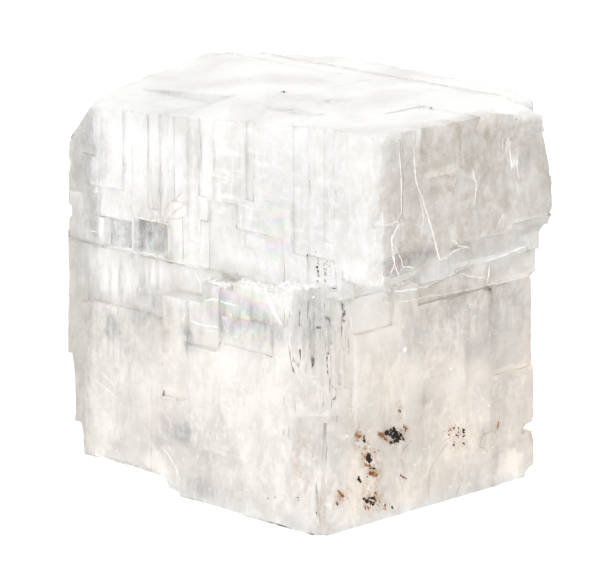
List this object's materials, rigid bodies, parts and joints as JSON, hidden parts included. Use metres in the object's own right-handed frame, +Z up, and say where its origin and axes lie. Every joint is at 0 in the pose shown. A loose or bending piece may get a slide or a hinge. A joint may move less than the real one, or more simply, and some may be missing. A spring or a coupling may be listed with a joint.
{
  "type": "calcite crystal",
  "caption": "Cleaved block of clear calcite with stepped faces, a fluted front edge and a flat base, to set down as a mineral specimen.",
  "frame": {"origin": "under the middle of the crystal's box, on the surface it rests on", "axes": "+Z up from the flat cleavage face it rests on; -Y is the front, where the broken upright edge is; +X to the right seen from the front"},
  "size_m": [0.0598, 0.0586, 0.0444],
  "materials": {
    "calcite": "clear to milky, with satin cleavage faces"
  },
  "bodies": {
    "root": {"crystal": "calcite"}
  },
  "joints": []
}
